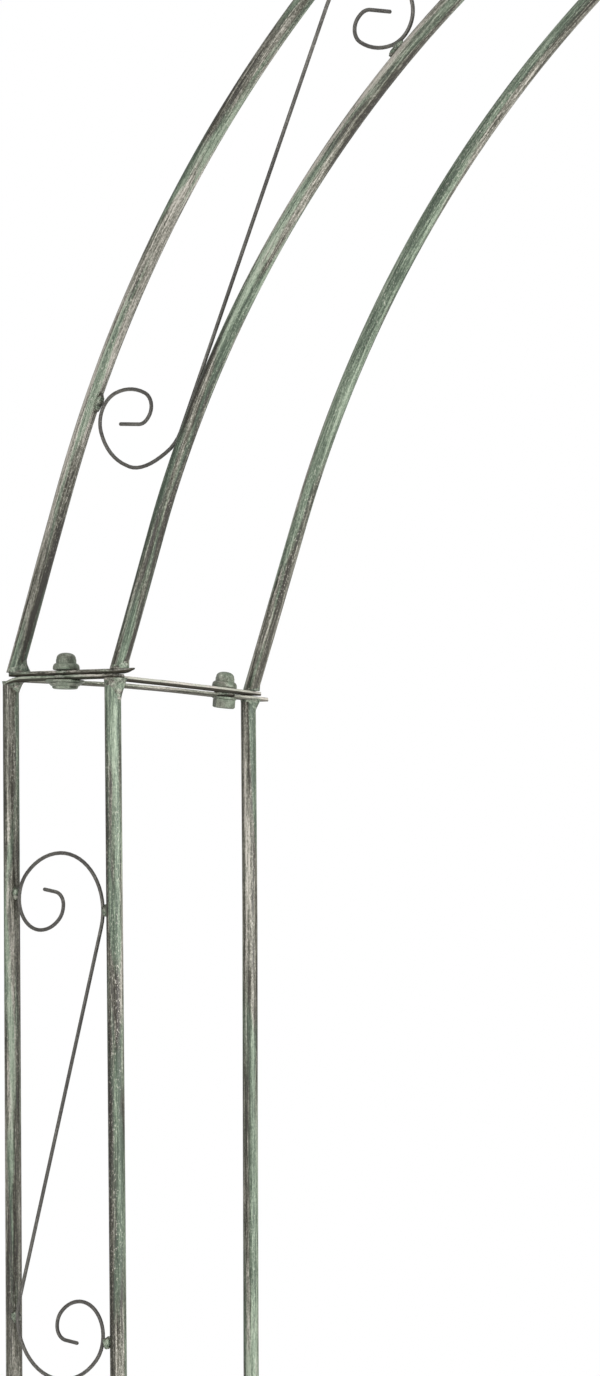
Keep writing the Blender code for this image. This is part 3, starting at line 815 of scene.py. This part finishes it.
def build_joint_brackets():
    """The bars and eyes of the two bolted brackets at the left joint, and their mirror images."""
    outer, inner, rear = (Vector((spot.x, spot.y)) for spot in (OUTER, INNER, REAR))
    across = Vector((1.0, 0.0))
    behind = Vector((0.0, 1.0))
    slant = (rear - inner).normalized()
    leg_low = JOINT_Z - SEAM - STRIP_THICKNESS
    arch_low = JOINT_Z + SEAM
    leg_cross = flat_bar(outer + across * LEG_CROSS_ENDS[0], inner + across * LEG_CROSS_ENDS[1],
                         leg_low, 20.0, dressed)
    leg_side = flat_bar(outer + behind * LEG_SIDE_ENDS[0], rear + behind * LEG_SIDE_ENDS[1],
                        leg_low, 21.0, bowed)
    arch_cross = flat_bar(outer + across * ARCH_CROSS_ENDS[0], inner + across * ARCH_CROSS_ENDS[1],
                          arch_low, 22.0, pointed)
    arch_side = flat_bar(inner + slant * ARCH_SIDE_ENDS[0], rear + slant * ARCH_SIDE_ENDS[1],
                         arch_low, 23.0, lapped)
    eyes = [middle_of("left_joint_%s_bolt" % name) for name in ("front", "rear")]
    leg_eyes = [eye_plate(eye, leg_low, 24.0) for eye in eyes]
    arch_eyes = [eye_plate(eye, arch_low, 25.0) for eye in eyes]
    place_pair("leg_top_cross_bar", with_grain(leg_cross, *leg_eyes), STRIP_PATINA,
               nodes=["leg_top_bracket"])
    place_pair("leg_top_side_bar", leg_side, PAINTED_LIT_LEG_STRIP, nodes=["leg_top_bracket"])
    place_pair("arch_foot_cross_bar", with_grain(arch_cross, *arch_eyes), STRIP_PATINA,
               nodes=["arch_foot_bracket"])
    place_pair("arch_foot_side_bar", arch_side, PAINTED_LIT_ARCH_STRIP, nodes=["arch_foot_bracket"])


# ---------------------------------------------------------------- fasteners
REAR_BOLT_LEAN = math.radians(5.0)  # the rear bolt sits loosely and leans
REAR_LEAN_AXIS = Vector((-0.63, 0.775, 0.0))
WASHER_RADIUS = {"front": 0.0119, "rear": 0.0079}
WASHER_THICKNESS = 0.0015
WASHER_EDGE = 0.0004
HEAD_GAP = 0.0002           # between a washer and the bolt head below it
# The shapes below are (radius, height) points.
NUT_FLAT = 0.0056           # half the width across the nut's flats
NUT_TOP = 0.0103
DOME_RADIUS = 0.0059
DOME_FOOT = 0.0068
DOME_HEIGHT = 0.0037
DOME_STEPS = 10
NUT_SIDE = [(0.0061, 0.0066), (0.0063, 0.0062), (0.0063, 0.0038), (0.0060, 0.0036), (0.0, 0.0035)]
NUT_FLANGE = [(0.0, 0.0042), (0.0057, 0.0042), (0.0067, 0.0040), (0.0075, 0.0034),
              (0.00795, 0.0025), (0.00815, 0.0014), (0.00815, 0.0007), (0.00785, 0.0002),
              (0.00735, 0.0001), (0.0, 0.0001)]
# Corner radius, half the width across flats, and depth of a bolt head.
LARGE_HEAD = (0.0081, 0.0071, 0.0036)
SMALL_HEAD = (0.0075, 0.0065, 0.0055)
HEAD_SKIRT = [(0.0, 0.0), (0.0104, 0.0), (0.0104, -0.0004), (0.0094, -0.0010),
              (0.0088, -0.0017), (0.0078, -0.0021), (0.0, -0.0022)]


def washer(radius, place):
    """Washer under a bolt head, with rounded edges."""
    low, high, edge = -SEAT - WASHER_THICKNESS, -SEAT, WASHER_EDGE
    small = edge * ROUNDING
    profile = [(0.0, high), (radius - edge, high), (radius - small, high - small),
               (radius, high - edge), (radius, low + edge), (radius - small, low + small),
               (radius - edge, low), (0.0, low)]
    return turned(profile, place)


def cap_nut(place):
    """Domed hexagon nut on a round flange; height 0 is where it sits."""
    profile = [(0.0, NUT_TOP)]
    for k in range(1, DOME_STEPS + 1):
        turn = math.pi / 2 * k / DOME_STEPS
        profile.append((DOME_RADIUS * math.sin(turn) ** 0.85,
                        DOME_FOOT + DOME_HEIGHT * math.cos(turn) ** 0.9))
    body = turned(profile + NUT_SIDE, place, flats=NUT_FLAT)
    return joined(body, turned(NUT_FLANGE, place))


def hex_head(place, large):
    """Bolt head hanging below height 0.  The large one has a skirt against its washer."""
    corner, flat, depth = LARGE_HEAD if large else SMALL_HEAD
    profile = [(0.0, 0.0), (corner, 0.0), (corner, -depth + 0.0009),
               (corner - 0.0006, -depth + 0.0003), (corner - 0.0013, -depth), (0.0052, -depth),
               (0.0048, -depth + 0.0004), (0.0, -depth + 0.0004)]
    head = turned(profile, place, flats=flat)
    return joined(head, turned(HEAD_SKIRT, place)) if large else head


def fasteners(end, place, prefix, put):
    """Cap nut, washer and bolt head at the front or rear end of a joint."""
    below = place @ Matrix.Translation((0.0, 0.0, -SEAT - WASHER_THICKNESS - HEAD_GAP))
    pieces = (("cap_nut", cap_nut(place @ Matrix.Translation((0.0, 0.0, SEAT)))),
              ("washer", washer(WASHER_RADIUS[end], place)),
              ("bolt", hex_head(below, large=end == "front")))
    for kind, solid in pieces:
        name = "%s_%s_%s" % (prefix, end, kind)
        put(name, solid, FASTENER_PAINT, nodes=[name])


# ---------------------------------------------------------------- assembly
def build_tubes():
    for name, spot in SPOTS.items():
        path = []
        for k in range(LEG_STEPS + 1):
            share = 1.0 - (1.0 - k / LEG_STEPS) ** LEG_CROWDING
            path.append(Vector((spot.x, spot.y, LEG_BOTTOM + (LEG_TOP - LEG_BOTTOM) * share)))
        piece = "leg_%s_tube" % name
        place_pair(piece, hollow_tube(path, LEG_SEEDS[name]), TUBE_PATINA, nodes=[piece])
    lines = (("outer", ARCH_SPACING, FRONT_Y), ("inner", 0.0, FRONT_Y), ("rear", ARCH_SPACING, REAR_Y))
    for name, offset, y in lines:
        piece = "arch_%s_tube" % name
        solid = hollow_tube(arch_path(offset, y), ARCH_SEEDS[name], level=JOINT_Z + SEAT)
        place_pair(piece, solid, TUBE_PATINA, nodes=[piece])


def build_leg_scrolls():
    middle_x = (OUTER.x + INNER.x) / 2
    spread = (JOINT_Z - 2 * LEG_SCROLL_END) / (LEG_SCROLLS - 1)
    for number in range(LEG_SCROLLS):
        centre = Vector((middle_x, JOINT_Z - LEG_SCROLL_END - number * spread))
        low = centre + Vector((0.0, LEG_LOW_RISE - LEG_SCROLL_HALF))
        high = centre + Vector((0.0, LEG_SCROLL_HALF))
        name = "leg_scroll_%d" % (number + 1)
        path = scroll_path(low, high, 1, LEG_LOOP, LEG_TAIL, LEG_SWING, lean=LEG_LEAN)
        place_pair(name, solid_wire(path, number * LEG_WIRE_SEED_STEP), WIRE_PAINT, nodes=[name])
        for end, sign, rise, front in (("top", 1, 0.0, LEG_LEAN[1]),
                                       ("bottom", -1, LEG_LOW_RISE, LEG_LEAN[0])):
            seed = number * 2.0 + sign
            for bead_name, offset in LEG_BEADS:
                spot = centre + offset * sign
                place = Vector((spot.x, FRONT_Y + front * LEG_BEAD_FRONT, spot.y + rise))
                bead = lump(place, LEG_BEAD, seed + offset.x * LEG_SEEDS_PER_METRE, LEG_BEAD_STRETCH)
                place_pair("%s_weld_%s_%s" % (name, end, bead_name), bead, WELD_PATINA)


def build_arch_scrolls():
    off = TUBE_RADIUS + ARCH_BEAD_OFF
    for number, (low, high) in enumerate(ARCH_SCROLLS, start=1):
        name = "arch_scroll_%d" % number
        path = scroll_path(arch_point(*low), arch_point(*high), -1, ARCH_LOOP, ARCH_TAIL, ARCH_SWING,
                           pull=ARCH_PULL)
        place_pair(name, solid_wire(path, ARCH_WIRE_SEED + number), WIRE_PAINT, nodes=[name])
        for end, along, out in (("low", low[0] - ARCH_BEAD_BACK, ARCH_SPACING - off),
                                ("high", high[0] + ARCH_BEAD_BACK, off)):
            spot = arch_point(along, out)
            ahead = arch_point(along + 0.001, out) - spot
            place = Vector((spot.x, FRONT_Y - ARCH_BEAD_FRONT, spot.y))
            bead = lump(place, ARCH_BEAD, along * ARCH_SEEDS_PER_METRE, ARCH_BEAD_STRETCH,
                        math.atan2(ahead.x, ahead.y))
            place_pair("%s_weld_%s" % (name, end), bead, WELD_PATINA)


def build_foot_welds():
    lean = math.tan(START_TILT)
    low = JOINT_Z - SEAM - STRIP_THICKNESS
    high = JOINT_Z + SEAM + STRIP_THICKNESS
    for name, (seed, leg_swell, leg_rise, arch_swell, arch_rise, toward) in FOOT_WELDS.items():
        spot = SPOTS[name]
        turn = math.radians(toward)
        leg = foot_weld(spot, low, False, 0.0, leg_rise, seed, leg_swell, turn)
        place_pair("leg_%s_weld" % name, leg, WELD_PATINA)
        foot = (spot.x + ARCH_INSET + SEAT * lean, spot.y)
        arch = foot_weld(foot, high, True, lean, arch_rise, seed + 4.0, arch_swell, turn)
        place_pair("arch_%s_weld" % name, arch, WELD_PATINA)
        base = foot_weld(spot, STRIP_THICKNESS, True, 0.0, GROUND_WELD_RISE, seed + 8.0,
                         GROUND_WELD_SWELL, turn)
        place_pair("foot_%s_weld" % name, base, WELD_PATINA)


def build_fasteners():
    for end, lean in (("front", 0.0), ("rear", REAR_BOLT_LEAN)):
        spot = middle_of("left_joint_%s_bolt" % end)
        place = Matrix.Translation((spot.x, spot.y, JOINT_Z)) @ Matrix.Rotation(lean, 4, REAR_LEAN_AXIS)
        fasteners(end, place, "joint", place_pair)
    sideways = Matrix.Rotation(math.radians(90.0), 4, "Y")
    for end in ("front", "rear"):
        spot = middle_of("crown_%s_bolt" % end)
        place = Matrix.Translation((0.0, spot.y, spot.z)) @ sideways
        fasteners(end, place, "crown", place_one)


def finish_brackets():
    """The other flat bars keep their CAD shape, with worn edges and the bracket material."""
    for name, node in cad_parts.items():
        if not name.endswith(("leg_foot_bracket", "arch_crown_bracket")):
            continue
        node.data.materials.clear()
        node.data.materials.append(FLAT_PATINA)
        edge = node.modifiers.new("worn_edges", "BEVEL")
        edge.width = WORN_EDGE
        edge.segments = 2
        edge.limit_method = "ANGLE"
        edge.harden_normals = True


# ---------------------------------------------------------------- stage, light and camera
FLOOR_SIZE = 14.0
FLOOR_PAINT = (0.86, 0.86, 0.85, 1.0)
FLOOR_ROUGHNESS = 0.9
WHITE = (1.0, 1.0, 1.0, 1.0)
ROOM_LIGHT = 0.50           # brightness of the room behind the white backdrop
# Softboxes: name, place, target, width, height and power in watts.
SOFTBOXES = (("ceiling_softbox", (0.0, 0.0, 10.0), (0.0, 0.0, 0.0), 16.0, 16.0, 560.0),
             ("side_softbox", (3.6, 0.1, 2.2), (0.0, 0.0, 1.7), 0.7, 3.0, 230.0),
             ("front_softbox", (-0.5, -4.0, 2.2), (0.0, 0.0, 1.5), 0.35, 3.0, 90.0))
CAMERA_YAW = math.radians(39.164)
CAMERA_PITCH = math.radians(3.481)
CAMERA_ROLL = math.radians(0.559)
CAMERA_LENS = 96.4          # millimetres, like the sensor's width
CAMERA_SENSOR = 36.0
CAMERA_REACH = 60.0         # metres
CAMERA_FROM_JOINT = Vector((1.54415, -1.61655, -0.14193))


def build_stage():
    material, tree, shader = new_material("studio_floor")
    set_inputs(shader, Roughness=FLOOR_ROUGHNESS, Base_Color=FLOOR_PAINT)
    half = FLOOR_SIZE / 2
    corners = [(-half, -half, 0.0), (half, -half, 0.0), (half, half, 0.0), (-half, half, 0.0)]
    floor = make_object("studio_floor", corners, [(0, 1, 2, 3)], material, smooth=False)


def softbox(name, place, target, width, height, power):
    light = bpy.data.lights.new(name, "AREA")
    light.shape = "RECTANGLE"
    light.size = width
    light.size_y = height
    light.energy = power
    item = bpy.data.objects.new(name, light)
    item.location = place
    direction = Vector(target) - Vector(place)
    item.rotation_euler = direction.to_track_quat("-Z", "Y").to_euler()
    bpy.context.scene.collection.objects.link(item)


def build_light():
    """Softboxes, with a backdrop that is white to the camera and dimmer as light."""
    world = bpy.data.worlds.new("studio")
    bpy.context.scene.world = world
    world.use_nodes = True
    tree = world.node_tree
    backdrop = tree.nodes["Background"]
    set_inputs(backdrop, Color=WHITE)
    room = tree.nodes.new("ShaderNodeBackground")
    set_inputs(room, Color=WHITE, Strength=ROOM_LIGHT)
    rays = tree.nodes.new("ShaderNodeLightPath")
    blend = tree.nodes.new("ShaderNodeMixShader")
    tree.links.new(rays.outputs["Is Camera Ray"], blend.inputs["Fac"])
    tree.links.new(room.outputs["Background"], blend.inputs[1])
    tree.links.new(backdrop.outputs["Background"], blend.inputs[2])
    tree.links.new(blend.outputs["Shader"], tree.nodes["World Output"].inputs["Surface"])
    for settings in SOFTBOXES:
        softbox(*settings)
    bpy.context.scene.view_settings.view_transform = "Standard"


def build_camera():
    joint = Vector((OUTER.x, OUTER.y, JOINT_Z))
    forward = Vector((-math.sin(CAMERA_YAW) * math.cos(CAMERA_PITCH),
                      math.cos(CAMERA_YAW) * math.cos(CAMERA_PITCH), math.sin(CAMERA_PITCH)))
    right = Vector((math.cos(CAMERA_YAW), math.sin(CAMERA_YAW), 0.0))
    up = right.cross(forward)
    turned_right = right * math.cos(CAMERA_ROLL) - up * math.sin(CAMERA_ROLL)
    turned_up = right * math.sin(CAMERA_ROLL) + up * math.cos(CAMERA_ROLL)
    axes = Matrix((turned_right, turned_up, -forward)).transposed()
    data = bpy.data.cameras.new("camera")
    data.lens = CAMERA_LENS
    data.sensor_width = CAMERA_SENSOR
    data.clip_end = CAMERA_REACH
    camera = bpy.data.objects.new("camera", data)
    camera.matrix_world = Matrix.Translation(joint + CAMERA_FROM_JOINT) @ axes.to_4x4()
    bpy.context.scene.collection.objects.link(camera)
    bpy.context.scene.camera = camera


build_tubes()
build_leg_scrolls()
build_arch_scrolls()
build_joint_brackets()
build_foot_welds()
build_fasteners()
finish_brackets()
build_stage()
build_light()
build_camera()
